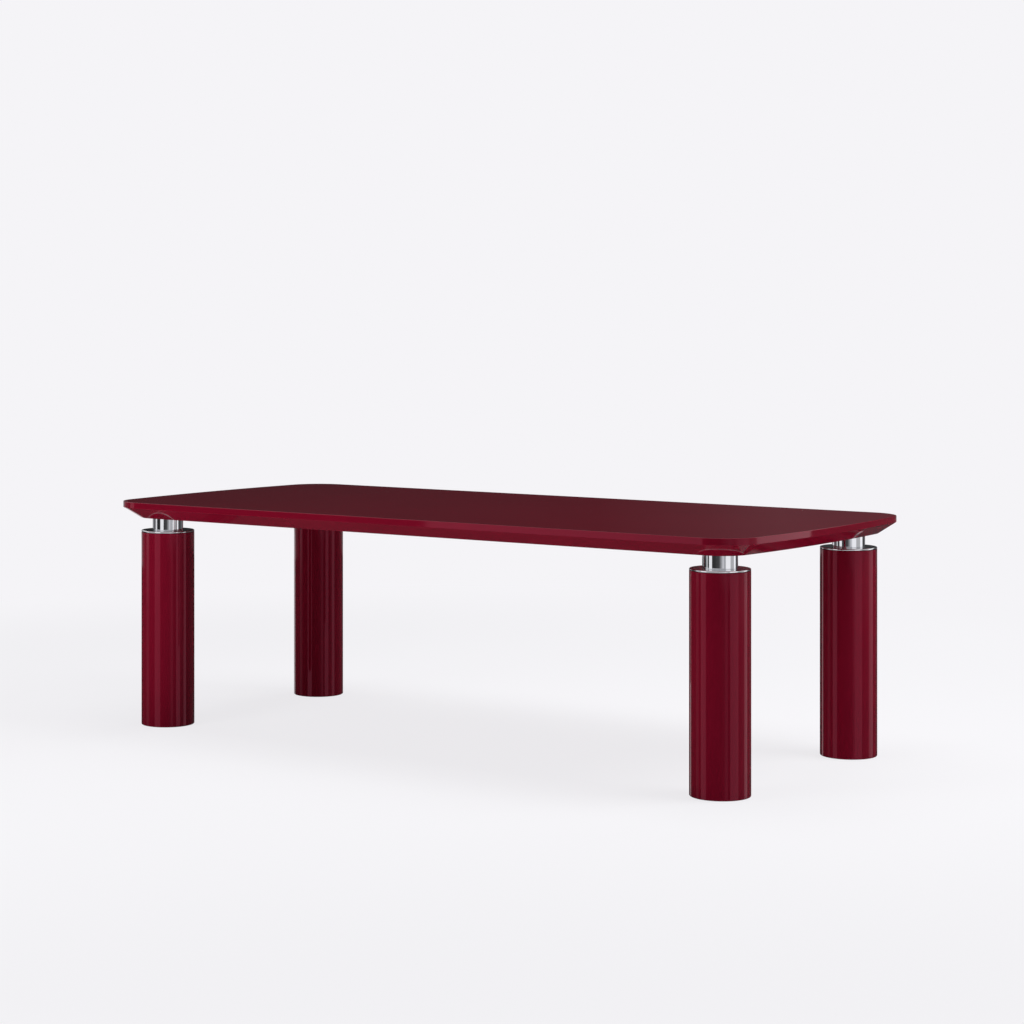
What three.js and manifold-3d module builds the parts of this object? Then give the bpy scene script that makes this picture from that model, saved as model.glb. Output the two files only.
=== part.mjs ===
// A rectangular dining table in gloss lacquer. The top has rounded corners, bowed ends and an undercut
// edge, and stands on four round legs, each under a polished cap disc and a slim chrome neck.
// Millimetres, +Z up, +X along the length. The origin is on the floor under the middle of the top.

import * as THREE from "three";
import { mergeVertices } from "three/addons/utils/BufferGeometryUtils.js";
import Module from "manifold-3d";

const wasm = await Module();
wasm.setup();

// The top
const tableLength = 2448; // from crown to crown of the bowed ends
const tableWidth = 1086;
const tableHeight = 750;
const topThickness = 55;
const bandHeight = 19.5; // the upright edge above the undercut
const undercutInset = 52; // how far the flat underside stays inside the edge
const cornerRadius = 124;
const undersideCornerRadius = 88; // of the flat underside, so the undercut runs deeper round the corners
const endRadius = 4400;
const arrisRadius = 1.5; // the eased edge round the upper face

// Where the legs stand, measured from the edge of the top to the axis of a leg
const legEndMargin = 162.5;
const legSideMargin = 141;

// Leg column: a tube of bent plywood, closed by a glued disc at each end
const legDiameter = 177;
const columnWall = 15;
const columnFootRadius = 3;
const columnHeadChamfer = 0.6;
const headDiscThickness = 25;
const baseDiscThickness = 26;
const discFit = 0.1; // glue line round a disc

// Cap disc and neck, between column and top
const capThickness = 6.5;
const capRimRadius = 3;
const neckDiameter = 102;
const neckWall = 6;
const neckHeight = 42.5;
const spigotHeight = 4; // raised centre that keeps the neck on the axis
const spigotFit = 0.25;

// Mounting flange, let in flush with the underside
const flangeDiameter = 150;
const flangeThickness = 6;
const flangeFit = 0.5;
const bossDiameter = 32;
const bossHeight = 24;
const bossPocketSpare = 2;
const flangeScrewCount = 4;
const flangeScrewCircle = 126;
const screwShankDiameter = 5.5;
const screwHeadDiameter = 11;

// Tie rod with its nut and washer, which pulls the whole leg together
const rodDiameter = 12;
const rodClearance = 0.5;
const threadClearance = 0.1;
const rodTopShort = 3; // how far the rod ends below the mouth of the boss
const rodEndProud = 1.5; // how far it comes through the nut
const nutAcrossFlats = 19;
const nutHeight = 10;
const washerDiameter = 37;
const washerThickness = 3;
const nutPocketDiameter = 48;
const nutPocketDepth = 16.5;

// Glide ring under each leg
const footReveal = 1.5; // the shadow gap between the leg and the floor
const footRingSetback = 5.5; // from the bore of the column in to the ring
const footRingWidth = 12;
const footRingSeat = 2.5; // how deep the ring sits in its groove
const footRingFit = 0.2;

// Two steel channels let into the underside, which keep the long span flat
const railSpacing = 440;
const railEndSetback = 130; // from the axis of a leg to the end of a rail
const railWidth = 40;
const railDepth = 20;
const railWall = 3;
const railFit = 0.5;
const railScrewCount = 6;
const railScrewMargin = 45;

const seatGap = 0.1; // between faces that rest on each other
const cutOverrun = 5; // how far a cutter runs past the face it opens

// How finely round shapes are stepped
const endSteps = 5;
const cornerSteps = 9;
const arrisSteps = 2;
const footRadiusSteps = 3;
const capRimSteps = 2;
const roundSegments = 28; // of the leg and all that turns round its axis
const rodSegments = 16;
const screwSegments = 8;

// Levels, from the top down to the floor
const bandLevel = tableHeight - bandHeight;
const undersideLevel = tableHeight - topThickness;
const neckTop = undersideLevel - seatGap;
const neckBottom = neckTop - neckHeight;
const capTop = neckBottom - seatGap;
const capBottom = capTop - capThickness;
const columnTop = capBottom - seatGap;
const columnBottom = footReveal;

// Radii and places that several pieces share
const legX = tableLength / 2 - legEndMargin;
const legY = tableWidth / 2 - legSideMargin;
const legRadius = legDiameter / 2;
const columnBore = legRadius - columnWall;
const discRadius = columnBore - discFit;
const footRingOuter = columnBore - footRingSetback;
const footRingInner = footRingOuter - footRingWidth;
const neckRadius = neckDiameter / 2;
const neckBore = neckRadius - neckWall;
const spigotRadius = neckBore - spigotFit;
const flangeRadius = flangeDiameter / 2;
const bossRadius = bossDiameter / 2;
const bossTop = undersideLevel + flangeThickness + bossHeight;
const rodRadius = rodDiameter / 2;
const rodHole = rodRadius + rodClearance;
const threadHole = rodRadius + threadClearance;
const nutPocketRoof = columnBottom + nutPocketDepth;
const washerTop = nutPocketRoof - seatGap;
const washerBottom = washerTop - washerThickness;
const nutTop = washerBottom - seatGap;
const nutBottom = nutTop - nutHeight;
const railHalfLength = legX - railEndSetback;

const lacquer = new THREE.MeshStandardMaterial({ color: 0x6a0c1f, roughness: 0.12, metalness: 0 });
const chrome = new THREE.MeshStandardMaterial({ color: 0xd9dadc, roughness: 0.08, metalness: 1 });
const blackSteel = new THREE.MeshStandardMaterial({ color: 0x2b2c2f, roughness: 0.55, metalness: 0.6 });
const zincSteel = new THREE.MeshStandardMaterial({ color: 0xa9adb1, roughness: 0.35, metalness: 1 });
const plywood = new THREE.MeshStandardMaterial({ color: 0xb98f62, roughness: 0.8, metalness: 0 });
const felt = new THREE.MeshStandardMaterial({ color: 0x3a3532, roughness: 0.95, metalness: 0 });

// Points along an arc, both ends included.
function arc(centreX, centreY, radius, from, to, steps) {
  return Array.from({ length: steps + 1 }, (_, step) => {
    const angle = from + ((to - from) * step) / steps;
    return new THREE.Vector2(centreX + radius * Math.cos(angle), centreY + radius * Math.sin(angle));
  });
}

// The outline of the top, anticlockwise, drawn in by an inset and with corners of the given radius. Ends and
// corners are arcs that run into each other: the corner arc touches the long side and, from inside, the wide
// arc of the end.
function topOutline(inset, radius) {
  const wideRadius = endRadius - inset;
  const endCentreX = tableLength / 2 - endRadius;
  const cornerY = tableWidth / 2 - inset - radius;
  const cornerX = endCentreX + Math.sqrt((wideRadius - radius) ** 2 - cornerY ** 2);
  const turn = Math.atan2(cornerY, cornerX - endCentreX);
  const end = arc(endCentreX, 0, wideRadius, 0, turn, endSteps);
  const corner = arc(cornerX, cornerY, radius, turn, Math.PI / 2, cornerSteps);
  const quarter = [...end, ...corner.slice(1)];
  const half = [...quarter, ...quarter.toReversed().map(({ x, y }) => new THREE.Vector2(-x, y))];
  const otherHalf = half.slice(1, -1).toReversed().map(({ x, y }) => new THREE.Vector2(x, -y));
  return [...half, ...otherHalf];
}

// A closed skin through outlines of equal count, from the lowest level to the highest.
function loft(levels) {
  const count = levels[0].outline.length;
  const faces = [];
  for (let level = 0; level < levels.length - 1; level++) {
    for (let i = 0; i < count; i++) {
      const a = level * count + i;
      const b = level * count + ((i + 1) % count);
      faces.push(a, b, b + count, a, b + count, a + count);
    }
  }
  const last = (levels.length - 1) * count;
  for (const [a, b, c] of THREE.ShapeUtils.triangulateShape(levels[0].outline, [])) {
    faces.push(c, b, a);
    faces.push(last + a, last + b, last + c);
  }
  const points = levels.flatMap(({ outline, z }) => outline.flatMap(({ x, y }) => [x, y, z]));
  const geometry = new THREE.BufferGeometry();
  geometry.setAttribute("position", new THREE.Float32BufferAttribute(points, 3));
  geometry.setIndex(faces);
  return geometry;
}

// A rounded edge of a profile, as [radius, height] pairs.
function roundedEdge(centreRadius, centreHeight, radius, from, to, steps) {
  return arc(centreRadius, centreHeight, radius, from, to, steps).map(({ x, y }) => [x, y]);
}

// A profile of [radius, height] pairs turned round the Z axis. A ring's profile ends where it started.
function revolve(profile, segments) {
  const points = profile.map(([radius, height]) => new THREE.Vector2(radius, height));
  return new THREE.LatheGeometry(points, segments).rotateX(Math.PI / 2);
}

function ring(inner, outer, bottom, top, segments) {
  const profile = [[inner, bottom], [outer, bottom], [outer, top], [inner, top], [inner, bottom]];
  return revolve(profile, segments);
}

function rod(radius, bottom, top, segments) {
  return revolve([[0, bottom], [radius, bottom], [radius, top], [0, top]], segments);
}

function solidOf(geometry) {
  const bare = geometry.clone();
  bare.deleteAttribute("normal");
  bare.deleteAttribute("uv");
  const merged = mergeVertices(bare);
  const vertProperties = merged.getAttribute("position").array;
  const triVerts = new Uint32Array(merged.index.array);
  return new wasm.Manifold(new wasm.Mesh({ numProp: 3, vertProperties, triVerts }));
}

function cut(geometry, cutters) {
  const left = cutters.reduce((solid, cutter) => solid.subtract(solidOf(cutter)), solidOf(geometry));
  const mesh = left.getMesh();
  const result = new THREE.BufferGeometry();
  result.setAttribute("position", new THREE.BufferAttribute(mesh.vertProperties, 3));
  result.setIndex(new THREE.BufferAttribute(mesh.triVerts, 1));
  return result;
}

function mesh(name, geometry, material) {
  if (!geometry.getAttribute("normal")) geometry.computeVertexNormals();
  const piece = new THREE.Mesh(geometry, material);
  piece.name = name;
  return piece;
}

// A countersunk hole that opens downwards at the given level.
function countersink(x, y, bottom, top) {
  const shank = screwShankDiameter / 2;
  const head = screwHeadDiameter / 2;
  const coneTop = bottom + head - shank;
  const flare = head + cutOverrun;
  const profile = [
    [0, bottom - cutOverrun],
    [flare, bottom - cutOverrun],
    [shank, coneTop],
    [shank, top + cutOverrun],
    [0, top + cutOverrun],
  ];
  return revolve(profile, screwSegments).translate(x, y, 0);
}

// Screw places on the flange, on a circle round the leg's axis and turned off the table's axes.
function flangeScrewPlaces() {
  return Array.from({ length: flangeScrewCount }, (_, i) => {
    const angle = ((i + 1 / 2) * 2 * Math.PI) / flangeScrewCount;
    return new THREE.Vector2(Math.cos(angle), Math.sin(angle)).multiplyScalar(flangeScrewCircle / 2);
  });
}

function railScrewPlaces() {
  const reach = railHalfLength - railScrewMargin;
  return Array.from({ length: railScrewCount }, (_, i) => (2 * i / (railScrewCount - 1) - 1) * reach);
}

// The top is lofted from its flat underside out to the foot of the band, up the band and over the arris.
// Then the seats of flanges, bosses and rails are cut into the underside.
function makeTabletop() {
  const levels = [
    { z: undersideLevel, outline: topOutline(undercutInset, undersideCornerRadius) },
    { z: bandLevel, outline: topOutline(0, cornerRadius) },
  ];
  for (let step = 0; step <= arrisSteps; step++) {
    const angle = (step / arrisSteps) * (Math.PI / 2);
    const inset = arrisRadius * (1 - Math.cos(angle));
    const z = tableHeight - arrisRadius * (1 - Math.sin(angle));
    levels.push({ z, outline: topOutline(inset, cornerRadius - inset) });
  }
  const belowUnderside = undersideLevel - cutOverrun;
  const flangeSeatRoof = undersideLevel + flangeThickness + seatGap;
  const flangeSeat = rod(flangeRadius + flangeFit, belowUnderside, flangeSeatRoof, roundSegments);
  const bossSeat = rod(bossRadius + flangeFit, belowUnderside, bossTop + bossPocketSpare, roundSegments);
  const cutters = legPlaces.flatMap(({ x, y }) => [
    flangeSeat.clone().translate(x, y, 0),
    bossSeat.clone().translate(x, y, 0),
  ]);
  const grooveHeight = cutOverrun + railDepth + seatGap;
  const groove = new THREE.BoxGeometry(2 * (railHalfLength + railFit), railWidth + 2 * railFit, grooveHeight);
  groove.translate(0, 0, belowUnderside + grooveHeight / 2);
  for (const { y } of railPlaces) cutters.push(groove.clone().translate(0, y, 0));
  return cut(loft(levels), cutters);
}

// A channel with its web flush in the underside and its two walls standing up into the top.
function makeRail() {
  const half = railWidth / 2;
  const inner = half - railWall;
  const section = new THREE.Shape([
    new THREE.Vector2(-half, 0),
    new THREE.Vector2(half, 0),
    new THREE.Vector2(half, railDepth),
    new THREE.Vector2(inner, railDepth),
    new THREE.Vector2(inner, railWall),
    new THREE.Vector2(-inner, railWall),
    new THREE.Vector2(-inner, railDepth),
    new THREE.Vector2(-half, railDepth),
  ]);
  const channel = new THREE.ExtrudeGeometry(section, { depth: 2 * railHalfLength, bevelEnabled: false });
  channel.rotateX(Math.PI / 2);
  channel.rotateZ(Math.PI / 2);
  channel.translate(-railHalfLength, 0, undersideLevel);
  const webTop = undersideLevel + railWall;
  return cut(channel, railScrewPlaces().map((x) => countersink(x, 0, undersideLevel, webTop)));
}

function makeColumn() {
  const footCentre = legRadius - columnFootRadius;
  const footHeight = columnBottom + columnFootRadius;
  const profile = [
    [columnBore, columnBottom],
    ...roundedEdge(footCentre, footHeight, columnFootRadius, -Math.PI / 2, 0, footRadiusSteps),
    [legRadius, columnTop - columnHeadChamfer],
    [legRadius - columnHeadChamfer, columnTop],
    [columnBore, columnTop],
    [columnBore, columnBottom],
  ];
  return revolve(profile, roundSegments);
}

function makeHeadDisc() {
  return ring(rodHole, discRadius, columnTop - headDiscThickness, columnTop, roundSegments);
}

// The base disc is flush with the foot of the column. A groove holds the glide ring, and a pocket the nut.
function makeBaseDisc() {
  const pocket = nutPocketDiameter / 2;
  const grooveInner = footRingInner - footRingFit;
  const grooveOuter = footRingOuter + footRingFit;
  const grooveRoof = columnBottom + footRingSeat + seatGap;
  const discTop = columnBottom + baseDiscThickness;
  const profile = [
    [pocket, columnBottom],
    [grooveInner, columnBottom],
    [grooveInner, grooveRoof],
    [grooveOuter, grooveRoof],
    [grooveOuter, columnBottom],
    [discRadius, columnBottom],
    [discRadius, discTop],
    [rodHole, discTop],
    [rodHole, nutPocketRoof],
    [pocket, nutPocketRoof],
    [pocket, columnBottom],
  ];
  return revolve(profile, roundSegments);
}

function makeFootRing() {
  return ring(footRingInner, footRingOuter, 0, columnBottom + footRingSeat, roundSegments);
}

// The cap disc covers the column. Its rim is rounded, and its raised centre stands in the neck.
function makeCapDisc() {
  const rimCentre = legRadius - capRimRadius;
  const profile = [
    [rodHole, capBottom],
    ...roundedEdge(rimCentre, capBottom + capRimRadius, capRimRadius, -Math.PI / 2, 0, capRimSteps),
    ...roundedEdge(rimCentre, capTop - capRimRadius, capRimRadius, 0, Math.PI / 2, capRimSteps),
    [spigotRadius, capTop],
    [spigotRadius, capTop + spigotHeight],
    [rodHole, capTop + spigotHeight],
    [rodHole, capBottom],
  ];
  return revolve(profile, roundSegments);
}

function makeNeck() {
  return ring(neckBore, neckRadius, neckBottom, neckTop, roundSegments);
}

// The flange has a spigot down into the neck and a threaded boss up into the top.
function makeFlange() {
  const plateTop = undersideLevel + flangeThickness;
  const profile = [
    [threadHole, undersideLevel - spigotHeight],
    [spigotRadius, undersideLevel - spigotHeight],
    [spigotRadius, undersideLevel],
    [flangeRadius, undersideLevel],
    [flangeRadius, plateTop],
    [bossRadius, plateTop],
    [bossRadius, bossTop],
    [threadHole, bossTop],
    [threadHole, undersideLevel - spigotHeight],
  ];
  const blank = revolve(profile, roundSegments);
  return cut(blank, flangeScrewPlaces().map(({ x, y }) => countersink(x, y, undersideLevel, plateTop)));
}

function makeTieRod() {
  return rod(rodRadius, nutBottom - rodEndProud, bossTop - rodTopShort, rodSegments);
}

function makeWasher() {
  return ring(rodHole, washerDiameter / 2, washerBottom, washerTop, rodSegments);
}

function makeNut() {
  const corner = nutAcrossFlats / Math.sqrt(3);
  const hexagon = new THREE.Shape(arc(0, 0, corner, 0, 2 * Math.PI, 6).slice(0, -1));
  hexagon.holes.push(new THREE.Path(arc(0, 0, threadHole, 0, 2 * Math.PI, rodSegments).slice(0, -1)));
  return new THREE.ExtrudeGeometry(hexagon, { depth: nutHeight, bevelEnabled: false }).translate(0, 0, nutBottom);
}

const legPlaces = [
  { place: "front_left", x: -legX, y: -legY },
  { place: "front_right", x: legX, y: -legY },
  { place: "back_left", x: -legX, y: legY },
  { place: "back_right", x: legX, y: legY },
];
const railPlaces = [
  { place: "front", y: -railSpacing / 2 },
  { place: "back", y: railSpacing / 2 },
];

// The pieces of one leg, from the floor up.
const legPieces = [
  ["foot_ring", makeFootRing(), felt],
  ["column_base_disc", makeBaseDisc(), plywood],
  ["leg_column", makeColumn(), lacquer],
  ["column_head_disc", makeHeadDisc(), plywood],
  ["cap_disc", makeCapDisc(), chrome],
  ["neck", makeNeck(), chrome],
  ["mounting_flange", makeFlange(), blackSteel],
  ["tie_rod", makeTieRod(), zincSteel],
  ["tie_rod_washer", makeWasher(), zincSteel],
  ["tie_rod_nut", makeNut(), zincSteel],
];

const table = new THREE.Group();
table.add(mesh("tabletop", makeTabletop(), lacquer));

const rail = makeRail();
for (const { place, y } of railPlaces) {
  const piece = mesh("stiffener_rail_" + place, rail, blackSteel);
  piece.position.y = y;
  table.add(piece);
}

for (const { place, x, y } of legPlaces) {
  const leg = new THREE.Group();
  leg.position.set(x, y, 0);
  for (const [name, geometry, material] of legPieces) leg.add(mesh(name + "_" + place, geometry, material));
  table.add(leg);
}

export default table;
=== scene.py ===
import math

import bmesh
import bpy
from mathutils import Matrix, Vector


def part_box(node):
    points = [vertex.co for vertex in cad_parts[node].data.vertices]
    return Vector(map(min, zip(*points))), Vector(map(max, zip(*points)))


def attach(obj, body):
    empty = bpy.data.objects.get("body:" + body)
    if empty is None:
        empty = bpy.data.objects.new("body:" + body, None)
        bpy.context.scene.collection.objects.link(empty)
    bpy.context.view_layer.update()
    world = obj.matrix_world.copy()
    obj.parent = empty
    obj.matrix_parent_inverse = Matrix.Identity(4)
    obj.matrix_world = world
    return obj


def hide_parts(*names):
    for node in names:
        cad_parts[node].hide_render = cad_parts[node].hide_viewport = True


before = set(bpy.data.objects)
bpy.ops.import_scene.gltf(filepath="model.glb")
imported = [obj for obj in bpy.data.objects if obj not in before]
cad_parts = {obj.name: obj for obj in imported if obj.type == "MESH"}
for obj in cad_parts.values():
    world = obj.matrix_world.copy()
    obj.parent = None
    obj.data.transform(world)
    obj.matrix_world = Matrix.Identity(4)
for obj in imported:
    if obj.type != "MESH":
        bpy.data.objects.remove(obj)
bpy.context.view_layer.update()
print("frame loaded:", len(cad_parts), "nodes")

mm = 0.001
legPlaces = ("front_left", "front_right", "back_left", "back_right")


def onLegs(name):
    return [name + "_" + place for place in legPlaces]


def linear(hexColour):
    channels = [int(hexColour[i:i + 2], 16) / 255 for i in (1, 3, 5)]
    return [c / 12.92 if c <= 0.04045 else ((c + 0.055) / 1.055) ** 2.4 for c in channels] + [1.0]


def addNode(tree, kind, inputs=None, **settings):
    node = tree.nodes.new(kind)
    for name, value in settings.items():
        setattr(node, name, value)
    for key, value in (inputs or {}).items():
        if isinstance(value, bpy.types.NodeSocket):
            tree.links.new(value, node.inputs[key])
        else:
            node.inputs[key].default_value = value
    return node


def newMaterial(name):
    material = bpy.data.materials.new(name)
    material.use_nodes = True
    tree = material.node_tree
    tree.nodes.clear()
    place = addNode(tree, "ShaderNodeTexCoord").outputs["Object"]  # metres, as every piece sits at the origin
    output = addNode(tree, "ShaderNodeOutputMaterial")
    return material, tree, place, output


# Polyester gloss lacquer on MDF: sprayed thick, flatted and buffed. A deep wine red under a crisp mirror,
# with only a trace of orange peel left, and buffing haze that is uneven over a hand's width.
lacquerLook = {
    "colour": "#700B21",
    "deepColour": "#690A1E",
    "colourDrift": 180 * mm,
    "roughness": (0.035, 0.055),
    "undersideRoughness": (0.3, 0.4),
    "hazeSize": 140 * mm,
    "peelSize": 5 * mm,
    "peelHeight": 0.0025 * mm,
    "waveSize": 90 * mm,
    "waveHeight": 0.010 * mm,
    "ior": 1.5,
    "reflection": "#FF89A4",  # the pigment near the surface tints what the lacquer mirrors
}


def mixColours(tree, factor, first, second):
    mix = addNode(tree, "ShaderNodeMix", data_type="RGBA")
    tree.links.new(factor, mix.inputs[0])
    mix.inputs[6].default_value = linear(first)
    mix.inputs[7].default_value = linear(second)
    return mix.outputs[2]


def makeLacquer(name, look, roughness):
    material, tree, place, output = newMaterial(name)
    drift = addNode(tree, "ShaderNodeTexNoise", {
        "Vector": place,
        "Scale": 1 / look["colourDrift"],
        "Detail": 2.0,
    })
    haze = addNode(tree, "ShaderNodeTexNoise", {"Vector": place, "Scale": 1 / look["hazeSize"], "Detail": 3.0})
    rough = addNode(tree, "ShaderNodeMapRange", {
        "Value": haze.outputs["Fac"],
        "From Min": 0.3,
        "From Max": 0.7,
        "To Min": roughness[0],
        "To Max": roughness[1],
    })
    wave = addNode(tree, "ShaderNodeTexNoise", {"Vector": place, "Scale": 1 / look["waveSize"], "Detail": 1.0})
    peel = addNode(tree, "ShaderNodeTexNoise", {"Vector": place, "Scale": 1 / look["peelSize"], "Detail": 1.0})
    waveBump = addNode(tree, "ShaderNodeBump", {"Height": wave.outputs["Fac"], "Distance": look["waveHeight"]})
    peelBump = addNode(tree, "ShaderNodeBump", {
        "Height": peel.outputs["Fac"],
        "Distance": look["peelHeight"],
        "Normal": waveBump.outputs["Normal"],
    })
    shader = addNode(tree, "ShaderNodeBsdfPrincipled", {
        "Base Color": mixColours(tree, drift.outputs["Fac"], look["colour"], look["deepColour"]),
        "Roughness": rough.outputs["Result"],
        "IOR": look["ior"],
        "Specular Tint": linear(look["reflection"]),
        "Normal": peelBump.outputs["Normal"],
    })
    tree.links.new(shader.outputs["BSDF"], output.inputs["Surface"])
    return material


buffedLacquer = makeLacquer("burgundyPolyesterLacquer", lacquerLook, lacquerLook["roughness"])
# The underside gets the same colour straight from the gun, not flatted or buffed, so it is only satin.
underLacquer = makeLacquer("burgundySatinUnderside", lacquerLook, lacquerLook["undersideRoughness"])

# Decorative chrome plate on polished steel: a near mirror with a cool cast, and a little wiping haze.
chromeLook = {"colour": "#E9EAEC", "deepColour": "#E1E3E6", "roughness": (0.03, 0.065), "smearSize": 25 * mm}


def makeChrome(look):
    material, tree, place, output = newMaterial("decorativeChromePlate")
    smear = addNode(tree, "ShaderNodeTexNoise", {"Vector": place, "Scale": 1 / look["smearSize"], "Detail": 4.0})
    rough = addNode(tree, "ShaderNodeMapRange", {
        "Value": smear.outputs["Fac"],
        "From Min": 0.35,
        "From Max": 0.65,
        "To Min": look["roughness"][0],
        "To Max": look["roughness"][1],
    })
    shader = addNode(tree, "ShaderNodeBsdfPrincipled", {
        "Base Color": mixColours(tree, smear.outputs["Fac"], look["colour"], look["deepColour"]),
        "Metallic": 1.0,
        "Roughness": rough.outputs["Result"],
    })
    tree.links.new(shader.outputs["BSDF"], output.inputs["Surface"])
    return material


chromePlate = makeChrome(chromeLook)

# Black epoxy powder coat on steel: an even satin black with a fine pebble that breaks up highlights.
powderLook = {
    "colour": "#232427",
    "worn": "#2E2F32",
    "roughness": (0.42, 0.58),
    "pebble": 0.9 * mm,
    "depth": 0.03 * mm,
}
# Zinc electroplate: pale bluish grey, cloudy where the bath left it uneven.
zincLook = {
    "colour": "#B4B8BC",
    "worn": "#9DA2A8",
    "roughness": (0.28, 0.45),
    "pebble": 7 * mm,
    "depth": 0.004 * mm,
}
# Pressed wool felt: dark, matte, with a fibre nap.
feltLook = {
    "colour": "#3A3532",
    "worn": "#2B2725",
    "roughness": (0.92, 0.98),
    "pebble": 0.7 * mm,
    "depth": 0.25 * mm,
}


def makeGrained(name, look, metallic):
    material, tree, place, output = newMaterial(name)
    grain = addNode(tree, "ShaderNodeTexNoise", {"Vector": place, "Scale": 1 / look["pebble"], "Detail": 3.0})
    rough = addNode(tree, "ShaderNodeMapRange", {
        "Value": grain.outputs["Fac"],
        "From Min": 0.3,
        "From Max": 0.7,
        "To Min": look["roughness"][0],
        "To Max": look["roughness"][1],
    })
    bump = addNode(tree, "ShaderNodeBump", {"Height": grain.outputs["Fac"], "Distance": look["depth"]})
    shader = addNode(tree, "ShaderNodeBsdfPrincipled", {
        "Base Color": mixColours(tree, grain.outputs["Fac"], look["colour"], look["worn"]),
        "Metallic": metallic,
        "Roughness": rough.outputs["Result"],
        "Normal": bump.outputs["Normal"],
    })
    tree.links.new(shader.outputs["BSDF"], output.inputs["Surface"])
    return material


powderCoat = makeGrained("blackPowderCoat", powderLook, 0.0)
zincPlate = makeGrained("zincElectroplate", zincLook, 1.0)
pressedFelt = makeGrained("pressedWoolFelt", feltLook, 0.0)

# Birch plywood: pale straw face veneer with faint growth bands some 8 mm apart and fine darker pores.
plywoodLook = {
    "pale": "#C9A273",
    "dark": "#A67B4C",
    "bandWidth": 8 * mm,
    "poreWidth": 0.6 * mm,
    "poreLength": 9 * mm,
    "poreDepth": 0.05 * mm,
    "roughness": 0.7,
}


def makePlywood(look):
    material, tree, place, output = newMaterial("birchPlywood")
    bands = addNode(tree, "ShaderNodeTexWave", {
        "Vector": place,
        "Scale": math.pi / 10 / look["bandWidth"],  # bands are pi / 10 apart at scale 1
        "Distortion": 6.0,
        "Detail": 2.0,
    }, bands_direction="Y")
    stretch = addNode(tree, "ShaderNodeMapping", {
        "Vector": place,
        "Scale": (1 / look["poreLength"], 1 / look["poreWidth"], 1 / look["poreWidth"]),
    })
    pores = addNode(tree, "ShaderNodeTexNoise", {
        "Vector": stretch.outputs["Vector"],
        "Scale": 1.0,
        "Detail": 2.0,
    })
    tone = addNode(tree, "ShaderNodeMath", {
        0: bands.outputs["Fac"],
        1: pores.outputs["Fac"],
    }, operation="MULTIPLY")
    bump = addNode(tree, "ShaderNodeBump", {"Height": pores.outputs["Fac"], "Distance": look["poreDepth"]})
    shader = addNode(tree, "ShaderNodeBsdfPrincipled", {
        "Base Color": mixColours(tree, tone.outputs["Value"], look["pale"], look["dark"]),
        "Roughness": look["roughness"],
        "Normal": bump.outputs["Normal"],
    })
    tree.links.new(shader.outputs["BSDF"], output.inputs["Surface"])
    return material


birchPlywood = makePlywood(plywoodLook)
print("materials made")


# Corners are (x, y, radius). A supporting point beside each rounding keeps the flats flat in the shading.
def roundedSection(corners, steps, support):
    points = []
    for i, (x, y, radius) in enumerate(corners):
        corner = Vector((x, y))
        if radius == 0:
            points.append(corner)
            continue
        before = Vector(corners[i - 1][:2]) - corner
        after = Vector(corners[(i + 1) % len(corners)][:2]) - corner
        before.normalize()
        after.normalize()
        half = before.angle(after) / 2
        reach = radius / math.tan(half)
        centre = corner + (before + after).normalized() * (radius / math.sin(half))
        start = corner + before * reach - centre
        end = corner + after * reach - centre
        turn = math.atan2(start.x * end.y - start.y * end.x, start.dot(end))
        points.append(corner + before * (reach + support))
        for step in range(steps + 1):
            angle = turn * step / steps
            spoke = Vector((
                start.x * math.cos(angle) - start.y * math.sin(angle),
                start.x * math.sin(angle) + start.y * math.cos(angle),
            ))
            points.append(centre + spoke)
        points.append(corner + after * (reach + support))
    return points


def newPiece(name, mesh):
    piece = bpy.data.objects.new(name, mesh)
    bpy.context.scene.collection.objects.link(piece)
    return piece


mergeDistance = 0.001 * mm
sharpAngle = 38  # degrees from which an edge shows as an edge


def bake(piece):
    graph = bpy.context.evaluated_depsgraph_get()
    baked = bpy.data.meshes.new_from_object(piece.evaluated_get(graph), depsgraph=graph)
    piece.modifiers.clear()
    piece.data = baked
    tidy = bmesh.new()
    tidy.from_mesh(baked)
    bmesh.ops.remove_doubles(tidy, verts=tidy.verts, dist=mergeDistance)
    bmesh.ops.recalc_face_normals(tidy, faces=tidy.faces)
    for face in tidy.faces:
        face.smooth = True
    tidy.to_mesh(baked)
    tidy.free()
    baked.set_sharp_from_angle(angle=math.radians(sharpAngle))
    return piece


def carve(piece, cutterMesh):
    cutter = newPiece("cutter", cutterMesh)
    pockets = piece.modifiers.new("pockets", "BOOLEAN")
    pockets.operation = "DIFFERENCE"
    pockets.solver = "EXACT"
    pockets.object = cutter
    bake(piece)
    bpy.data.objects.remove(cutter)
    return piece


def runTree(name, mesh, tree, values):
    piece = newPiece(name, mesh)
    modifier = piece.modifiers.new(tree.name, "NODES")
    modifier.node_group = tree
    for item in tree.interface.items_tree:
        if item.item_type == "SOCKET" and item.in_out == "INPUT" and item.name in values:
            modifier[item.identifier] = values[item.name]
    return bake(piece)


def declareSockets(tree, sockets):
    for name, kind in sockets:
        tree.interface.new_socket(name=name, in_out="INPUT", socket_type="NodeSocket" + kind)
    tree.interface.new_socket(name="Geometry", in_out="OUTPUT", socket_type="NodeSocketGeometry")


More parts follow.
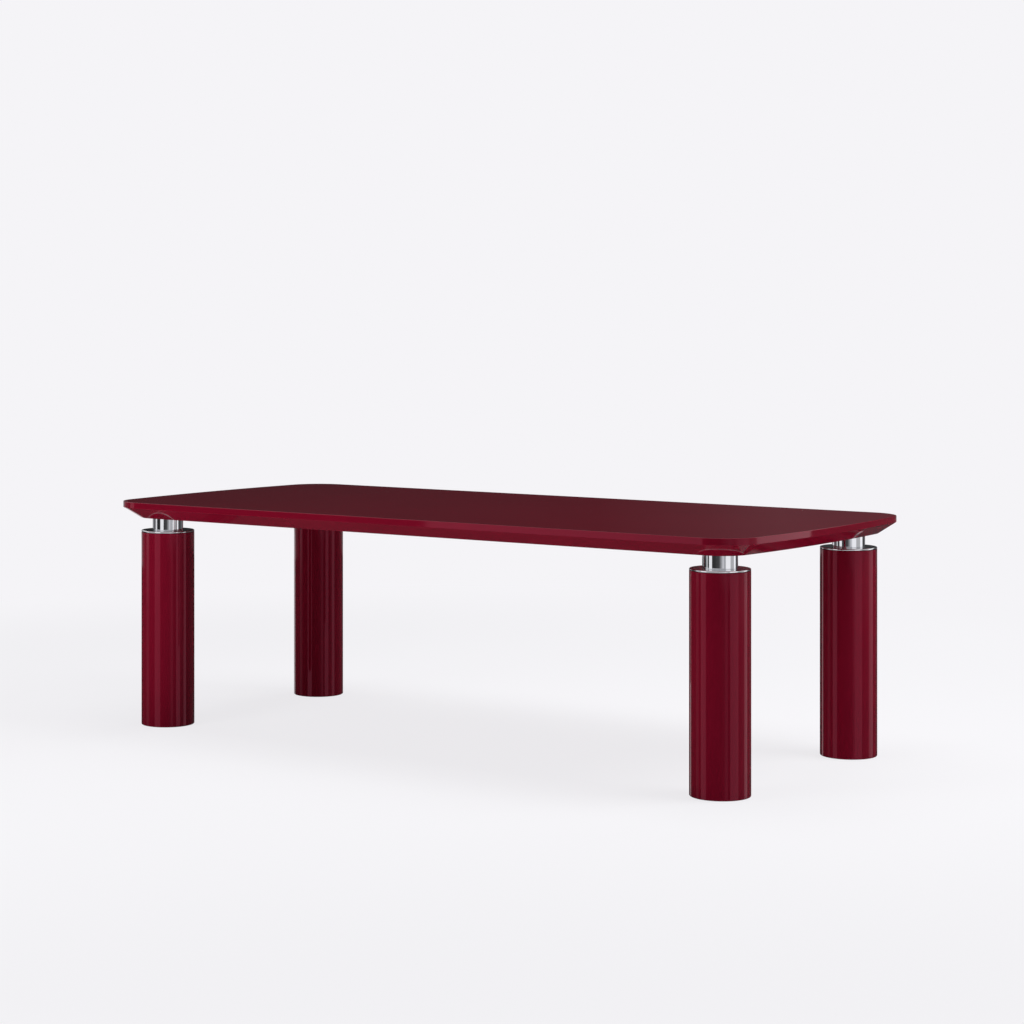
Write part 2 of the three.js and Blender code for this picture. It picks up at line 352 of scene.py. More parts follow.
# Turns a section, drawn as (radius, height), round the axis of all four legs.
def makeTurningTree():
    tree = bpy.data.node_groups.new("turnedOnEachLeg", "GeometryNodeTree")
    declareSockets(tree, [
        ("Section", "Geometry"),
        ("Path Radius", "Float"),
        ("Segments", "Int"),
        ("Leg Spacing X", "Float"),
        ("Leg Spacing Y", "Float"),
        ("Finish", "Material"),
    ])
    given = addNode(tree, "NodeGroupInput").outputs
    section = addNode(tree, "GeometryNodeMeshToCurve", {"Mesh": given["Section"]})
    inward = addNode(tree, "ShaderNodeMath", {0: given["Path Radius"], 1: -1.0}, operation="MULTIPLY")
    shift = addNode(tree, "ShaderNodeCombineXYZ", {"X": inward.outputs["Value"]})
    # the sweep hangs a section with its height downwards, so the section is turned over first
    placed = addNode(tree, "GeometryNodeTransform", {
        "Geometry": section.outputs["Curve"],
        "Translation": shift.outputs["Vector"],
        "Scale": (1.0, -1.0, 1.0),
    })
    path = addNode(tree, "GeometryNodeCurvePrimitiveCircle", {
        "Resolution": given["Segments"],
        "Radius": given["Path Radius"],
    })
    swept = addNode(tree, "GeometryNodeCurveToMesh", {
        "Curve": path.outputs["Curve"],
        "Profile Curve": placed.outputs["Geometry"],
    })
    axes = addNode(tree, "GeometryNodeMeshGrid", {
        "Size X": given["Leg Spacing X"],
        "Size Y": given["Leg Spacing Y"],
        "Vertices X": 2,
        "Vertices Y": 2,
    })
    legs = addNode(tree, "GeometryNodeInstanceOnPoints", {
        "Points": axes.outputs["Mesh"],
        "Instance": swept.outputs["Mesh"],
    })
    real = addNode(tree, "GeometryNodeRealizeInstances", {"Geometry": legs.outputs["Instances"]})
    finished = addNode(tree, "GeometryNodeSetMaterial", {
        "Geometry": real.outputs["Geometry"],
        "Material": given["Finish"],
    })
    addNode(tree, "NodeGroupOutput", {"Geometry": finished.outputs["Geometry"]})
    return tree


turningTree = makeTurningTree()
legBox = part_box("leg_column_front_right")
legX = (legBox[0][0] + legBox[1][0]) / 2
legY = -(legBox[0][1] + legBox[1][1]) / 2


def turned(name, corners, finish, segments, steps, support=0.6 * mm):
    points = roundedSection(corners, steps, support)
    mesh = bpy.data.meshes.new(name)
    edges = [(i, (i + 1) % len(points)) for i in range(len(points))]
    mesh.from_pydata([(p.x, p.y, 0) for p in points], edges, [])
    return runTree(name, mesh, turningTree, {
        "Path Radius": sum(p.x for p in points) / len(points),
        "Segments": segments,
        "Leg Spacing X": 2 * legX,
        "Leg Spacing Y": 2 * legY,
        "Finish": finish,
    })


# The columns are lacquered tubes, rounded at the foot and barely eased under the cap.
columnLook = {"wall": 15 * mm, "footRadius": 3 * mm, "headRadius": 0.7 * mm, "boreRadius": 0.4 * mm}


def makeColumns(look):
    low, high = legBox
    outer = (high[0] - low[0]) / 2
    bore = outer - look["wall"]
    return turned("legColumns", [
        (bore, low[2], look["boreRadius"]),
        (outer, low[2], look["footRadius"]),
        (outer, high[2], look["headRadius"]),
        (bore, high[2], look["boreRadius"]),
    ], buffedLacquer, segments=160, steps=6)


capLook = {"rim": 3 * mm, "rodHole": 6.5 * mm, "spigot": 44.75 * mm, "spigotHeight": 4 * mm, "edge": 0.3 * mm}


def makeCaps(look):
    low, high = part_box("cap_disc_front_right")
    outer = (high[0] - low[0]) / 2
    plateTop = high[2] - look["spigotHeight"]
    return turned("capDiscs", [
        (look["rodHole"], low[2], look["edge"]),
        (outer, low[2], look["rim"]),
        (outer, plateTop, look["rim"]),
        (look["spigot"], plateTop, 0),
        (look["spigot"], high[2], look["edge"]),
        (look["rodHole"], high[2], look["edge"]),
    ], chromePlate, segments=160, steps=8, support=0.05 * mm)


neckLook = {"wall": 6 * mm, "edge": 0.4 * mm}


def makeNecks(look):
    low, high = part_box("neck_front_right")
    outer = (high[0] - low[0]) / 2
    bore = outer - look["wall"]
    return turned("chromeNecks", [
        (bore, low[2], look["edge"]),
        (outer, low[2], look["edge"]),
        (outer, high[2], look["edge"]),
        (bore, high[2], look["edge"]),
    ], chromePlate, segments=160, steps=4)


ringLook = {"width": 12 * mm, "edge": 0.8 * mm, "gluedEdge": 0.3 * mm}


def makeFootRings(look):
    low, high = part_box("foot_ring_front_right")
    outer = (high[0] - low[0]) / 2
    inner = outer - look["width"]
    return turned("feltFootRings", [
        (inner, low[2], look["edge"]),
        (outer, low[2], look["edge"]),
        (outer, high[2], look["gluedEdge"]),
        (inner, high[2], look["gluedEdge"]),
    ], pressedFelt, segments=96, steps=4)


baseLook = {
    "rodHole": 6.5 * mm,
    "nutPocket": 24 * mm,
    "pocketDepth": 16.5 * mm,
    "grooveInner": 55.8 * mm,
    "grooveOuter": 68.2 * mm,
    "grooveDepth": 2.6 * mm,
    "edge": 0.3 * mm,
}


def makeBaseDiscs(look):
    low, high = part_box("column_base_disc_front_right")
    outer = (high[0] - low[0]) / 2
    bottom = low[2]
    return turned("plywoodBaseDiscs", [
        (look["nutPocket"], bottom, look["edge"]),
        (look["grooveInner"], bottom, look["edge"]),
        (look["grooveInner"], bottom + look["grooveDepth"], 0),
        (look["grooveOuter"], bottom + look["grooveDepth"], 0),
        (look["grooveOuter"], bottom, look["edge"]),
        (outer, bottom, look["edge"]),
        (outer, high[2], look["edge"]),
        (look["rodHole"], high[2], look["edge"]),
        (look["rodHole"], bottom + look["pocketDepth"], 0),
        (look["nutPocket"], bottom + look["pocketDepth"], 0),
    ], birchPlywood, segments=96, steps=3, support=0.3 * mm)


columns = makeColumns(columnLook)
caps = makeCaps(capLook)
necks = makeNecks(neckLook)
footRings = makeFootRings(ringLook)
baseDiscs = makeBaseDiscs(baseLook)
print("legs turned")


# Screws stand on circles in the flanges and in rows along the rails. Their holes are cut from the same places.
screwLook = {
    "head": 5.3 * mm,
    "shank": 2.6 * mm,
    "length": 18 * mm,
    "socketFlats": 4 * mm,
    "socketDepth": 2 * mm,
    "sunk": 0.15 * mm,
    "flangeCount": 4,
    "flangeCircle": 63 * mm,
    "railCount": 6,
    "railMargin": 45 * mm,
    "holeHead": 5.5 * mm,
    "holeShank": 2.75 * mm,
    "holeSides": 24,
    "holeFlare": 2 * mm,  # how far the cone of a hole's cutter goes on below the underside
    "headSides": 32,
    "shankSides": 16,
    "seed": 4,
}
flangeLook = {
    "thread": 6.1 * mm,
    "spigot": 44.75 * mm,
    "spigotHeight": 4 * mm,
    "plate": 6 * mm,
    "boss": 16 * mm,
    "edge": 0.5 * mm,
    "drillDepth": 12 * mm,
}
railLook = {"wall": 3 * mm, "bendRadius": 4 * mm, "lipRadius": 0.5 * mm, "drillDepth": 8 * mm}
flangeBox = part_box("mounting_flange_front_right")
railBoxes = [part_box("stiffener_rail_front"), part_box("stiffener_rail_back")]
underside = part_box("tabletop")[0][2]


def flangeScrewPlaces():
    turn = 2 * math.pi / screwLook["flangeCount"]
    angles = [(i + 0.5) * turn for i in range(screwLook["flangeCount"])]
    radius = screwLook["flangeCircle"]
    circle = [(radius * math.cos(a), radius * math.sin(a)) for a in angles]
    return [(axisX + x, axisY + y) for axisX in (-legX, legX) for axisY in (-legY, legY) for x, y in circle]


def railScrewPlaces():
    reach = railBoxes[0][1][0] - screwLook["railMargin"]
    last = screwLook["railCount"] - 1
    return [
        ((2 * i / last - 1) * reach, (low[1] + high[1]) / 2)
        for low, high in railBoxes for i in range(screwLook["railCount"])
    ]


# A closed skin over loops of equally many points, from the first loop to the last.
def skin(shape, loops):
    rings = [[shape.verts.new(point) for point in loop] for loop in loops]
    count = len(rings[0])
    for lower, upper in zip(rings, rings[1:]):
        for i in range(count):
            j = (i + 1) % count
            shape.faces.new((lower[i], lower[j], upper[j], upper[i]))
    shape.faces.new(list(reversed(rings[0])))
    shape.faces.new(rings[-1])


def addTurnedPlug(shape, place, outline, sides):
    angles = [2 * math.pi * i / sides for i in range(sides)]
    spokes = [(math.cos(a), math.sin(a)) for a in angles]
    x, y = place
    skin(shape, [[(x + radius * c, y + radius * s, height) for c, s in spokes] for radius, height in outline])


def meshFrom(shape, name):
    mesh = bpy.data.meshes.new(name)
    shape.to_mesh(mesh)
    shape.free()
    return mesh


def countersinks(places, depth):
    head, shank, flare = screwLook["holeHead"], screwLook["holeShank"], screwLook["holeFlare"]
    outline = [
        (head + flare, underside - flare),
        (shank, underside + head - shank),
        (shank, underside + depth),
    ]
    cutters = bmesh.new()
    for place in places:
        addTurnedPlug(cutters, place, outline, screwLook["holeSides"])
    return meshFrom(cutters, "countersinks")


def makeFlanges(look):
    outer = (flangeBox[1][0] - flangeBox[0][0]) / 2
    top = flangeBox[1][2]
    plateTop = underside + look["plate"]
    flanges = turned("mountingFlanges", [
        (look["thread"], underside - look["spigotHeight"], look["edge"]),
        (look["spigot"], underside - look["spigotHeight"], look["edge"]),
        (look["spigot"], underside, 0),
        (outer, underside, look["edge"]),
        (outer, plateTop, look["edge"]),
        (look["boss"], plateTop, 0),
        (look["boss"], top, look["edge"]),
        (look["thread"], top, look["edge"]),
    ], powderCoat, segments=96, steps=3, support=0.3 * mm)
    return carve(flanges, countersinks(flangeScrewPlaces(), look["drillDepth"]))


def makeRails(look):
    channels = bmesh.new()
    for low, high in railBoxes:
        y0, y1, z0, z1 = low[1], high[1], low[2], high[2]
        wall = look["wall"]
        inner = look["bendRadius"] - wall
        points = roundedSection([
            (y0, z0, look["bendRadius"]),
            (y1, z0, look["bendRadius"]),
            (y1, z1, look["lipRadius"]),
            (y1 - wall, z1, look["lipRadius"]),
            (y1 - wall, z0 + wall, inner),
            (y0 + wall, z0 + wall, inner),
            (y0 + wall, z1, look["lipRadius"]),
            (y0, z1, look["lipRadius"]),
        ], steps=4, support=0.4 * mm)
        skin(channels, [[(x, p.x, p.y) for p in points] for x in (low[0], high[0])])
    bmesh.ops.recalc_face_normals(channels, faces=channels.faces)
    mesh = meshFrom(channels, "stiffenerRails")
    mesh.materials.append(powderCoat)
    return carve(newPiece("stiffenerRails", mesh), countersinks(railScrewPlaces(), look["drillDepth"]))


# Countersunk wood screws with a hexagon socket, one on each point, each turned by its own random angle.
def makeScrewTree():
    tree = bpy.data.node_groups.new("countersunkScrews", "GeometryNodeTree")
    declareSockets(tree, [
        ("Places", "Geometry"),
        ("Head Radius", "Float"),
        ("Shank Radius", "Float"),
        ("Length", "Float"),
        ("Socket Radius", "Float"),
        ("Socket Depth", "Float"),
        ("Head Sides", "Int"),
        ("Shank Sides", "Int"),
        ("Seed", "Int"),
        ("Finish", "Material"),
    ])
    given = addNode(tree, "NodeGroupInput").outputs
    coneHeight = addNode(tree, "ShaderNodeMath", {
        0: given["Head Radius"],
        1: given["Shank Radius"],
    }, operation="SUBTRACT")
    head = addNode(tree, "GeometryNodeMeshCone", {
        "Vertices": given["Head Sides"],
        "Radius Top": given["Shank Radius"],
        "Radius Bottom": given["Head Radius"],
        "Depth": coneHeight.outputs["Value"],
    })
    shank = addNode(tree, "GeometryNodeMeshCylinder", {
        "Vertices": given["Shank Sides"],
        "Radius": given["Shank Radius"],
        "Depth": given["Length"],
    })
    halfLength = addNode(tree, "ShaderNodeMath", {0: given["Length"], 1: 0.5}, operation="MULTIPLY")
    shankUp = addNode(tree, "ShaderNodeCombineXYZ", {"Z": halfLength.outputs["Value"]})
    shankPlaced = addNode(tree, "GeometryNodeTransform", {
        "Geometry": shank.outputs["Mesh"],
        "Translation": shankUp.outputs["Vector"],
        "Scale": (0.98, 0.98, 1.0),  # slimmer than the end of the cone, so that no walls coincide
    })
    socketHeight = addNode(tree, "ShaderNodeMath", {0: given["Socket Depth"], 1: 2.0}, operation="MULTIPLY")
    socket = addNode(tree, "GeometryNodeMeshCylinder", {
        "Vertices": 6,
        "Radius": given["Socket Radius"],
        "Depth": socketHeight.outputs["Value"],
    })
    # a union takes all its meshes on one input
    body = addNode(tree, "GeometryNodeMeshBoolean", {
        "Mesh 2": head.outputs["Mesh"],
    }, operation="UNION", solver="EXACT")
    tree.links.new(shankPlaced.outputs["Geometry"], body.inputs["Mesh 2"])
    screw = addNode(tree, "GeometryNodeMeshBoolean", {
        "Mesh 1": body.outputs["Mesh"],
        "Mesh 2": socket.outputs["Mesh"],
    }, operation="DIFFERENCE", solver="EXACT")
    spin = addNode(tree, "FunctionNodeRandomValue", {
        "Min": (0.0, 0.0, 0.0),
        "Max": (0.0, 0.0, 2 * math.pi),
        "Seed": given["Seed"],
    }, data_type="FLOAT_VECTOR")
    screws = addNode(tree, "GeometryNodeInstanceOnPoints", {
        "Points": given["Places"],
        "Instance": screw.outputs["Mesh"],
        "Rotation": spin.outputs["Value"],
    })
    real = addNode(tree, "GeometryNodeRealizeInstances", {"Geometry": screws.outputs["Instances"]})
    finished = addNode(tree, "GeometryNodeSetMaterial", {
        "Geometry": real.outputs["Geometry"],
        "Material": given["Finish"],
    })
    addNode(tree, "NodeGroupOutput", {"Geometry": finished.outputs["Geometry"]})
    return tree


def makeScrews(look):
    places = bpy.data.meshes.new("screwPlaces")
    level = underside + look["sunk"]
    places.from_pydata([(x, y, level) for x, y in flangeScrewPlaces() + railScrewPlaces()], [], [])
    return runTree("woodScrews", places, makeScrewTree(), {
        "Head Radius": look["head"],
        "Shank Radius": look["shank"],
        "Length": look["length"],
        "Socket Radius": look["socketFlats"] / math.sqrt(3),
        "Socket Depth": look["socketDepth"],
        "Head Sides": look["headSides"],
        "Shank Sides": look["shankSides"],
        "Seed": look["seed"],
        "Finish": zincPlate,
    })


flanges = makeFlanges(flangeLook)
rails = makeRails(railLook)
screws = makeScrews(screwLook)
print("flanges, rails and screws made")


# The top is lofted from its flat underside over the undercut, the crease and the band to the upper face.
topLook = {
    "cornerRadius": 124 * mm,
    "underCornerRadius": 88 * mm,
    "endRadius": 4400 * mm,
    "bandHeight": 19.5 * mm,
    "undercut": 52 * mm,
    "arris": 1.5 * mm,
    "crease": 0.6 * mm,
    "underEdge": 1.2 * mm,
    "endSteps": 28,
    "cornerSteps": 26,
    "flatRing": 30 * mm,  # the flats get one ring of narrow faces beside the edge
    "flangeFit": 0.5 * mm,
    "bossSpare": 2 * mm,
    "railFit": 0.5 * mm,
    "seatSpare": 0.1 * mm,
    "cutBelow": 10 * mm,  # how far the cutters of the seats go on under the board
    "seatSides": 96,
}
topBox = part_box("tabletop")


def topOutline(look, inset):
    length = topBox[1][0] - topBox[0][0]
    width = topBox[1][1] - topBox[0][1]
    # over the undercut the corners go from the band's radius to the underside's own
    depth = min(inset / look["undercut"], 1)
    corner = look["cornerRadius"] * (1 - depth) + look["underCornerRadius"] * depth
    if inset <= look["arris"]:
        corner = look["cornerRadius"] - inset
    reach = look["endRadius"] - inset
    endCentreX = length / 2 - look["endRadius"]
    cornerY = width / 2 - inset - corner
    cornerX = endCentreX + math.sqrt((reach - corner) ** 2 - cornerY ** 2)
    turn = math.atan2(cornerY, cornerX - endCentreX)
    quarter = []
    for i in range(look["endSteps"]):
        angle = turn * i / look["endSteps"]
        quarter.append((endCentreX + reach * math.cos(angle), reach * math.sin(angle)))
    for i in range(look["cornerSteps"] + 1):
        angle = turn + (math.pi / 2 - turn) * i / look["cornerSteps"]
        quarter.append((cornerX + corner * math.cos(angle), cornerY + corner * math.sin(angle)))
    half = quarter + [(-x, y) for x, y in reversed(quarter)]
    return half + [(x, -y) for x, y in reversed(half[1:-1])]


def makeTop(look):
    low, high = topBox
    # section of the edge as (inset, level), from the flat underside to the flat upper face
    edge = roundedSection([
        (look["undercut"] + look["flatRing"], low[2], 0),
        (look["undercut"], low[2], look["underEdge"]),
        (0, high[2] - look["bandHeight"], look["crease"]),
        (0, high[2], look["arris"]),
        (look["flatRing"], high[2], 0),
    ], steps=6, support=1.2 * mm)
    board = bmesh.new()
    skin(board, [[(x, y, p.y) for x, y in topOutline(look, p.x)] for p in edge])
    mesh = meshFrom(board, "lacqueredTop")
    mesh.materials.append(buffedLacquer)
    mesh.materials.append(underLacquer)
    piece = newPiece("lacqueredTop", mesh)

    # seats for flanges, bosses and rails, let into the underside
    seats = bmesh.new()
    below = underside - look["cutBelow"]
    flangeRadius = (flangeBox[1][0] - flangeBox[0][0]) / 2 + look["flangeFit"]
    bossRadius = flangeLook["boss"] + look["flangeFit"]
    plateTop = underside + flangeLook["plate"] + look["seatSpare"]
    outline = [
        (flangeRadius, below),
        (flangeRadius, plateTop),
        (bossRadius, plateTop),
        (bossRadius, flangeBox[1][2] + look["bossSpare"]),
    ]
    for place in [(x, y) for x in (-legX, legX) for y in (-legY, legY)]:
        addTurnedPlug(seats, place, outline, look["seatSides"])
    fit = look["railFit"]
    for railLow, railHigh in railBoxes:
        x0, x1, y0, y1 = railLow[0] - fit, railHigh[0] + fit, railLow[1] - fit, railHigh[1] + fit
        levels = (below, railHigh[2] + look["seatSpare"])
        skin(seats, [[(x0, y0, z), (x1, y0, z), (x1, y1, z), (x0, y1, z)] for z in levels])
    carve(piece, meshFrom(seats, "seats"))

    # the flat underside and the walls and floors of its seats are satin
    seatReachX, seatReachY = legX + flangeRadius, legY + flangeRadius
    for face in piece.data.polygons:
        flat = face.center.z < high[2] - look["arris"] and abs(face.normal.z) > 0.99
        upright = abs(face.normal.z) < 0.2
        withinSeats = abs(face.center.x) < seatReachX and abs(face.center.y) < seatReachY
        face.material_index = 1 if flat or (upright and withinSeats) else 0
    return piece


top = makeTop(topLook)
print("top lofted and its seats cut")


# each piece with the nodes it stands for and the name of its finish
dressed = [
    (top, ["tabletop"], "lacquer"),
    (columns, onLegs("leg_column"), "lacquer"),
    (caps, onLegs("cap_disc"), "chrome"),
    (necks, onLegs("neck"), "chrome"),
    (footRings, onLegs("foot_ring"), "felt"),
    (baseDiscs, onLegs("column_base_disc"), "plywood"),
    (flanges, onLegs("mounting_flange"), "black_steel"),
    (rails, ["stiffener_rail_front", "stiffener_rail_back"], "black_steel"),
    (screws, [], "zinc_steel"),
]
for piece, nodes, slotName in dressed:
    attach(piece, "root")
    if nodes:
        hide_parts(*nodes)

# the pieces inside the legs stay as the CAD made them and only get their finish
finishes = {
    "column_head_disc": birchPlywood,
    "tie_rod": zincPlate,
    "tie_rod_washer": zincPlate,
    "tie_rod_nut": zincPlate,
}
for name, finish in finishes.items():
    for node in onLegs(name):
        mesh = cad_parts[node].data
        mesh.materials.clear()
        mesh.materials.append(finish)
print("pieces placed on the frame")


studio = {
    "backdrop": "#F5F4F7",
    "ambient": 0.10,
    "floorSize": 60.0,
    "floorAlbedo": "#F2F3F5",
    "shadowShare": 0.14,  # how much of the floor near the table is lit, and so holds the shadow
    "shadowReach": (2.2, 4.5),
}


def seenDirectly(tree):
    path = addNode(tree, "ShaderNodeLightPath").outputs
    seen = addNode(tree, "ShaderNodeMath", {
        0: path["Is Camera Ray"],
        1: path["Is Glossy Ray"],
    }, operation="MAXIMUM")
    seenOrThrough = addNode(tree, "ShaderNodeMath", {
        0: seen.outputs["Value"],
        1: path["Is Transmission Ray"],
    }, operation="MAXIMUM")
    return seenOrThrough.outputs["Value"]


def makeWorld(look):
    world = bpy.data.worlds.new("paleStudio")
    world.use_nodes = True
    tree = world.node_tree
    tree.nodes.clear()
    light = addNode(tree, "ShaderNodeBackground", {"Color": (1.0, 1.0, 1.0, 1.0), "Strength": look["ambient"]})
    backdrop = addNode(tree, "ShaderNodeBackground", {"Color": linear(look["backdrop"]), "Strength": 1.0})
    mix = addNode(tree, "ShaderNodeMixShader", {
        0: seenDirectly(tree),
        1: light.outputs["Background"],
        2: backdrop.outputs["Background"],
    })
    addNode(tree, "ShaderNodeOutputWorld", {"Surface": mix.outputs["Shader"]})
    bpy.context.scene.world = world


def makeFloor(look):
    half = look["floorSize"] / 2
    mesh = bpy.data.meshes.new("studioFloor")
    corners = [(-half, -half, 0), (half, -half, 0), (half, half, 0), (-half, half, 0)]
    mesh.from_pydata(corners, [], [(0, 1, 2, 3)])
    floor = newPiece("studioFloor", mesh)
    material, tree, place, output = newMaterial("paleSweep")
    distance = addNode(tree, "ShaderNodeVectorMath", {0: place}, operation="LENGTH")
    near = addNode(tree, "ShaderNodeMapRange", {
        "Value": distance.outputs["Value"],
        "From Min": look["shadowReach"][0],
        "From Max": look["shadowReach"][1],
        "To Min": 1 - look["shadowShare"],
        "To Max": 1.0,
    }, interpolation_type="SMOOTHSTEP")
    share = addNode(tree, "ShaderNodeMath", {
        0: near.outputs["Result"],
        1: seenDirectly(tree),
    }, operation="MULTIPLY")
    lit = addNode(tree, "ShaderNodeBsdfDiffuse", {"Color": linear(look["floorAlbedo"])})
    even = addNode(tree, "ShaderNodeEmission", {"Color": linear(look["backdrop"]), "Strength": 1.0})
    mix = addNode(tree, "ShaderNodeMixShader", {
        0: share.outputs["Value"],
        1: lit.outputs["BSDF"],
        2: even.outputs["Emission"],
    })
    tree.links.new(mix.outputs["Shader"], output.inputs["Surface"])
    mesh.materials.append(material)
    floor.visible_glossy = False


# Lamps set the plain light level: one from the front left, large ones from above and the upper right, weak fills
# at the sides, one behind the table for views from there, and the bounce of a pale floor. Reflections leave
# them out, and show the walls and cards below instead.
lamps = {
    "frontSoftbox": {"place": (-1.3, -3.6, 1.5), "aim": (0, 0, 0.5), "size": (1.5, 2.6), "watts": 60},
    "rightSoftbox": {"place": (3.6, 2.2, 1.5), "aim": (0, 0, 0.5), "size": (1.5, 2.6), "watts": 9},
    "upperRightSoftbox": {"place": (2.8, 0.8, 3.6), "aim": (0, 0, 0.7), "size": (2.0, 2.0), "watts": 116},
    "topSoftbox": {"place": (0.0, 0.0, 4.2), "aim": (0, 0, 0.7), "size": (3.0, 2.0), "watts": 85},
    "leftSoftbox": {"place": (-3.4, -0.6, 1.2), "aim": (0, 0, 0.4), "size": (1.2, 2.0), "watts": 5},
    "backSoftbox": {"place": (0.0, 4.6, 2.0), "aim": (0, 0, 0.5), "size": (3.0, 1.6), "watts": 60},
    "floorBounce": {"place": (-0.55, -1.7, 0.02), "aim": (-0.55, -1.7, 3.0), "size": (3.1, 1.2), "watts": 16},
    "rightBounce": {"place": (2.5, 0.1, 0.02), "aim": (2.5, 0.1, 3.0), "size": (1.2, 2.4), "watts": 8},
}


def makeLamps(lamps):
    for name, look in lamps.items():
        data = bpy.data.lights.new(name, "AREA")
        data.shape = "RECTANGLE"
        data.size, data.size_y = look["size"]
        data.energy = look["watts"]
        lamp = newPiece(name, data)
        lamp.location = look["place"]
        lamp.rotation_euler = (Vector(look["aim"]) - Vector(look["place"])).to_track_quat("-Z", "Y").to_euler()
        lamp.visible_glossy = False
        lamp.visible_camera = False


# A dark cyclorama and pale cards round the table, as a studio uses for gloss and chrome. Only reflections see
# them. From low to high, the walls show in the legs, in the necks and the band, in the upper face of the top
# and the caps, and in rounded rims. Above the highest one, reflections meet the backdrop.
cyclorama = {
    "radius": 12.0,
    "sides": 96,
    "coolness": 1.05,  # blue against red and green
    "ground": 0.05,
    "patchLift": 0.02,  # keeps the ground patches off the ground
    "walls": [  # from height, to height, and greys by the compass: degrees clockwise from the back, brightness
        (-4.0, -0.6, [(-90, 0.04), (-50, 0.03), (0, 0.07), (100, 0.07), (119, 0.10), (122, 0.46), (128, 0.46),
                      (132, 0.16), (146, 0.06), (180, 0.035), (270, 0.04)]),
        (-0.6, 1.2, [(-90, 0.16), (-75, 0.42), (-50, 0.30), (-5, 0.20), (18, 0.12), (25, 0.065), (100, 0.07),
                     (112, 0.55), (120, 0.40), (129, 0.72), (136, 0.42), (146, 0.20), (152, 0.07), (180, 0.035),
                     (213, 0.038), (222, 0.01), (235, 0.03), (250, 0.05), (262, 0.17), (270, 0.16)]),
        (1.2, 2.9, [(-90, 0.04), (-47, 0.02), (-36, 0.019), (-31, 0.018), (-27, 0.030), (-24, 0.045),
                    (-20, 0.040), (0, 0.08), (80, 0.10), (110, 0.45), (240, 0.45), (270, 0.04)]),
        (2.9, 6.5, [(-90, 0.9), (-60, 0.9), (-45, 0.06), (15, 0.06), (30, 0.9), (270, 0.9)]),
    ],
}
# Upright cards, each between two ends on plan. The brightness goes from the first value to the second over the
# levels of the blend, so the legs and the necks meet a card in different greys.
cards = {
    "frontCard": {
        "ends": ((-1.92, -3.32), (-0.50, -3.97)),
        "level": (-3.5, 3.5),
        "brightness": (0.88, 1.06),
        "blend": (0.0, 0.3),
    },
    "rightCard": {
        "ends": ((3.30, -1.37), (3.58, 0.05)),
        "level": (-3.5, 3.5),
        "brightness": (0.97, 1.1),
        "blend": (0.1, 0.4),
    },
    "greyCard": {
        "ends": ((3.58, 0.05), (3.30, 1.45)),
        "level": (-3.5, 3.5),
        "brightness": (0.2, 0.55),
        "blend": (0.1, 0.4),
    },
    "backCard": {
        "ends": ((3.30, 1.45), (2.87, 2.52)),
        "level": (-3.5, 3.5),
        "brightness": (0.95, 1.2),
        "blend": (0.1, 0.4),
    },
    "farLeftCard": {
        "ends": ((-6.59, -5.53), (-7.79, -3.64)),
        "level": (-3.5, 3.5),
        "brightness": (0.28, 0.9),
        "blend": (-0.5, 0.0),
    },
    "leftStrip": {
        "ends": ((-3.0, 0.85), (-3.15, 1.65)),
        "level": (-0.9, 0.4),
        "brightness": (1.1, 1.1),
        "blend": (-0.9, 0.4),
    },
}
# Paler rectangles on the dark ground, which the undercut of the top mirrors.
groundPatches = {
    "frontGround": {"from": (-9.0, -7.5), "to": (8.0, -1.0), "brightness": 0.95},
    "cornerGround": {"from": (-1.0, 2.8), "to": (1.6, 5.2), "brightness": 0.24},
    "endGround": {"from": (-3.0, 5.2), "to": (2.0, 8.8), "brightness": 0.15},
    "farGround": {"from": (-6.5, 8.8), "to": (3.0, 10.0), "brightness": 0.08},
}


def onlyReflected(name, mesh, material):
    mesh.materials.append(material)
    material.cycles.emission_sampling = "NONE"
    sheet = newPiece(name, mesh)
    sheet.visible_camera = False
    sheet.visible_diffuse = False
    sheet.visible_shadow = False
    sheet.visible_transmission = False


def makeCyclorama(look):
    count = look["sides"]
    spokes = [2 * math.pi * i / count for i in range(count)]
    rim = [(look["radius"] * math.cos(a), look["radius"] * math.sin(a)) for a in spokes]
    for number, (low, high, greys) in enumerate(look["walls"]):
        name = "cyclorama" + str(number + 1)
        mesh = bpy.data.meshes.new(name)
        points = [(x, y, z) for z in (low, high) for x, y in rim]
        faces = [(i, (i + 1) % count, (i + 1) % count + count, i + count) for i in range(count)]
        mesh.from_pydata(points, [], faces)
        material, tree, place, output = newMaterial(name)
        compass = addNode(tree, "ShaderNodeTexGradient", {"Vector": place}, gradient_type="RADIAL")
        paint = addNode(tree, "ShaderNodeValToRGB", {"Fac": compass.outputs["Fac"]})
        # the gradient runs anticlockwise from the left, the compass clockwise from the back
        stops = sorted(((90 - degrees) / 360 + 0.5, grey) for degrees, grey in greys)
        for _ in range(len(stops) - 2):
            paint.color_ramp.elements.new(0.5)
        for element, (position, grey) in zip(paint.color_ramp.elements, stops):
            element.position = position
            element.color = (grey, grey, grey * look["coolness"], 1.0)
        glow = addNode(tree, "ShaderNodeEmission", {"Color": paint.outputs["Color"], "Strength": 1.0})
        tree.links.new(glow.outputs["Emission"], output.inputs["Surface"])
        onlyReflected(name, mesh, material)

    mesh = bpy.data.meshes.new("darkGround")
    mesh.from_pydata([(x, y, look["walls"][0][0]) for x, y in rim], [], [tuple(range(count))])
    material, tree, _, output = newMaterial("darkGround")
    glow = addNode(tree, "ShaderNodeEmission", {"Color": (look["ground"],) * 3 + (1.0,), "Strength": 1.0})
    tree.links.new(glow.outputs["Emission"], output.inputs["Surface"])
    onlyReflected("darkGround", mesh, material)


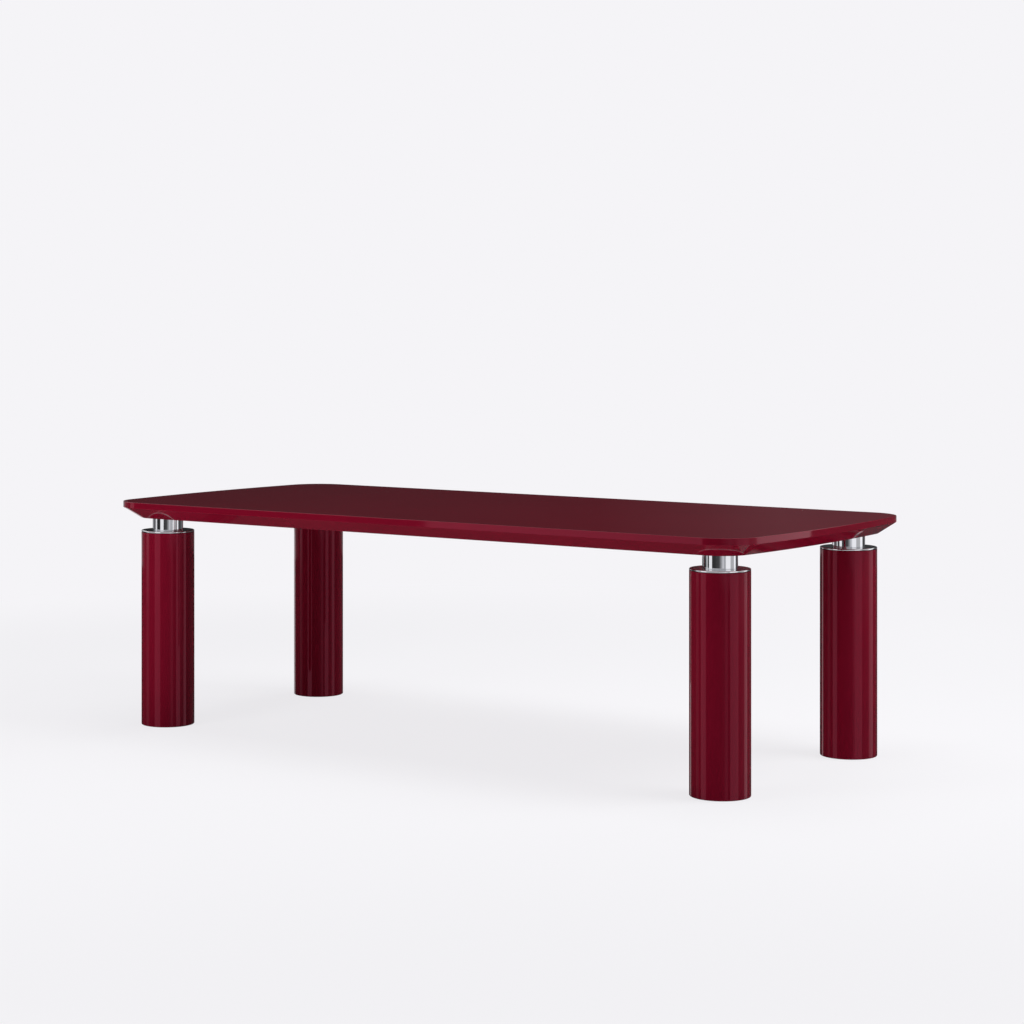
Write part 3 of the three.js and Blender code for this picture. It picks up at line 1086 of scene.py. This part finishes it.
def makeCards(cards):
    for name, look in cards.items():
        (x0, y0), (x1, y1) = look["ends"]
        low, high = look["level"]
        mesh = bpy.data.meshes.new(name)
        corners = [(x0, y0, low), (x1, y1, low), (x1, y1, high), (x0, y0, high)]
        mesh.from_pydata(corners, [], [(0, 1, 2, 3)])
        material, tree, place, output = newMaterial(name)
        height = addNode(tree, "ShaderNodeSeparateXYZ", {"Vector": place})
        strength = addNode(tree, "ShaderNodeMapRange", {
            "Value": height.outputs["Z"],
            "From Min": look["blend"][0],
            "From Max": look["blend"][1],
            "To Min": look["brightness"][0],
            "To Max": look["brightness"][1],
        })
        paint = addNode(tree, "ShaderNodeEmission", {
            "Color": linear(studio["backdrop"]),
            "Strength": strength.outputs["Result"],
        })
        tree.links.new(paint.outputs["Emission"], output.inputs["Surface"])
        onlyReflected(name, mesh, material)


def makeGroundPatches(patches, level):
    for name, look in patches.items():
        (x0, y0), (x1, y1) = look["from"], look["to"]
        mesh = bpy.data.meshes.new(name)
        corners = [(x0, y0, level), (x1, y0, level), (x1, y1, level), (x0, y1, level)]
        mesh.from_pydata(corners, [], [(0, 1, 2, 3)])
        material, tree, _, output = newMaterial(name)
        paint = addNode(tree, "ShaderNodeEmission", {
            "Color": linear(studio["backdrop"]),
            "Strength": look["brightness"],
        })
        tree.links.new(paint.outputs["Emission"], output.inputs["Surface"])
        onlyReflected(name, mesh, material)


makeWorld(studio)
makeFloor(studio)
makeLamps(lamps)
makeCyclorama(cyclorama)
makeCards(cards)
makeGroundPatches(groundPatches, cyclorama["walls"][0][0] + cyclorama["patchLift"])
print("studio lit")


# The camera is fitted to the photo: level, with its frame shifted down to the table.
view = {
    "place": (4.6100, -6.6218, 1.3917),
    "turn": 35.896,
    "lens": 87.53,
    "sensor": 36.0,
    "shift": (0.0605, -0.1979),
}
cameraData = bpy.data.cameras.new("camera")
cameraData.sensor_width = view["sensor"]
cameraData.lens = view["lens"]
cameraData.shift_x, cameraData.shift_y = view["shift"]
camera = newPiece("camera", cameraData)
camera.location = view["place"]
camera.rotation_euler = (math.pi / 2, 0, math.radians(view["turn"]))
scene = bpy.context.scene
scene.camera = camera
scene.view_settings.view_transform = "Standard"
print("camera set")
